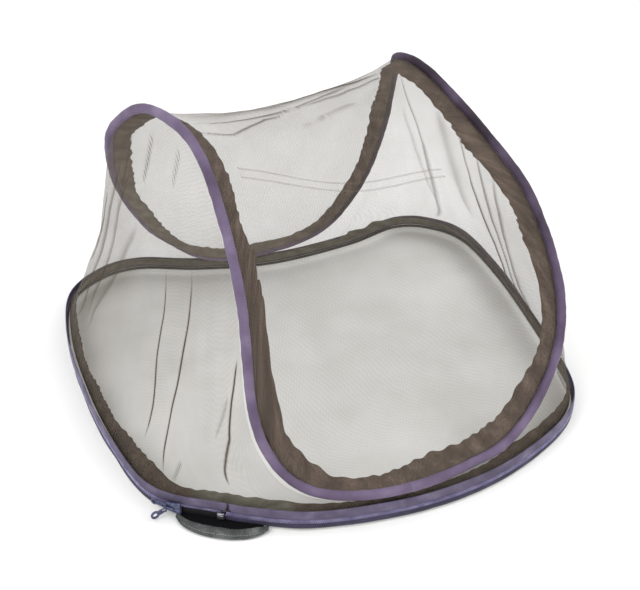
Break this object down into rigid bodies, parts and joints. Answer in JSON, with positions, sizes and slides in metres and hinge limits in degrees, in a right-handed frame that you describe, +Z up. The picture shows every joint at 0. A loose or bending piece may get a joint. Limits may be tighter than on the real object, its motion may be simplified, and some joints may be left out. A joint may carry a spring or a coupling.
{
  "type": "pop-up mosquito net",
  "caption": "Pop-up insect net dome: sheer net on one bowed spring-wire ring, seam strips, a zip round a shallow cloth floor, and a small carry handle.",
  "frame": {"origin": "middle of the flat underside of the floor cloth, where it rests", "axes": "+Z up, +X to the right and +Y to the back as seen from the side with the handle"},
  "size_m": [0.6296, 0.5963, 0.4003],
  "materials": {
    "floor_cloth": "plain woven polyester, matt",
    "zip_tape": "ribbed woven tape",
    "zip_tape_dark": "ribbed woven tape in shadow",
    "zip_coil": "moulded coil teeth",
    "silver_metal": "plated",
    "painted_slider": "semi-gloss enamel",
    "strip_cloth": "light lining cloth, creased",
    "binding_cloth": "folded binding tape with puckers",
    "sheer_net": "fine sheer mesh",
    "grip_cloth": "padded cloth with a stitched edge",
    "webbing": "woven black webbing"
  },
  "bodies": {
    "root": {"floor_tray": "floor_cloth", "zip_lower_tape": "zip_tape_dark", "zip_chain": "zip_coil", "zip_chain_open": "zip_coil", "zip_upper_tape": "zip_tape", "zip_box": "silver_metal", "zip_slider": "painted_slider", "zip_pull_upper": "painted_slider", "zip_pull_lower": "painted_slider", "base_seam_strip": "strip_cloth", "ring_binding": "binding_cloth", "ring_seam_strip": "strip_cloth", "net_top": "sheer_net", "net_left": "sheer_net", "net_right": "sheer_net", "handle_grip": "grip_cloth", "handle_webbing": "webbing"}
  },
  "joints": []
}
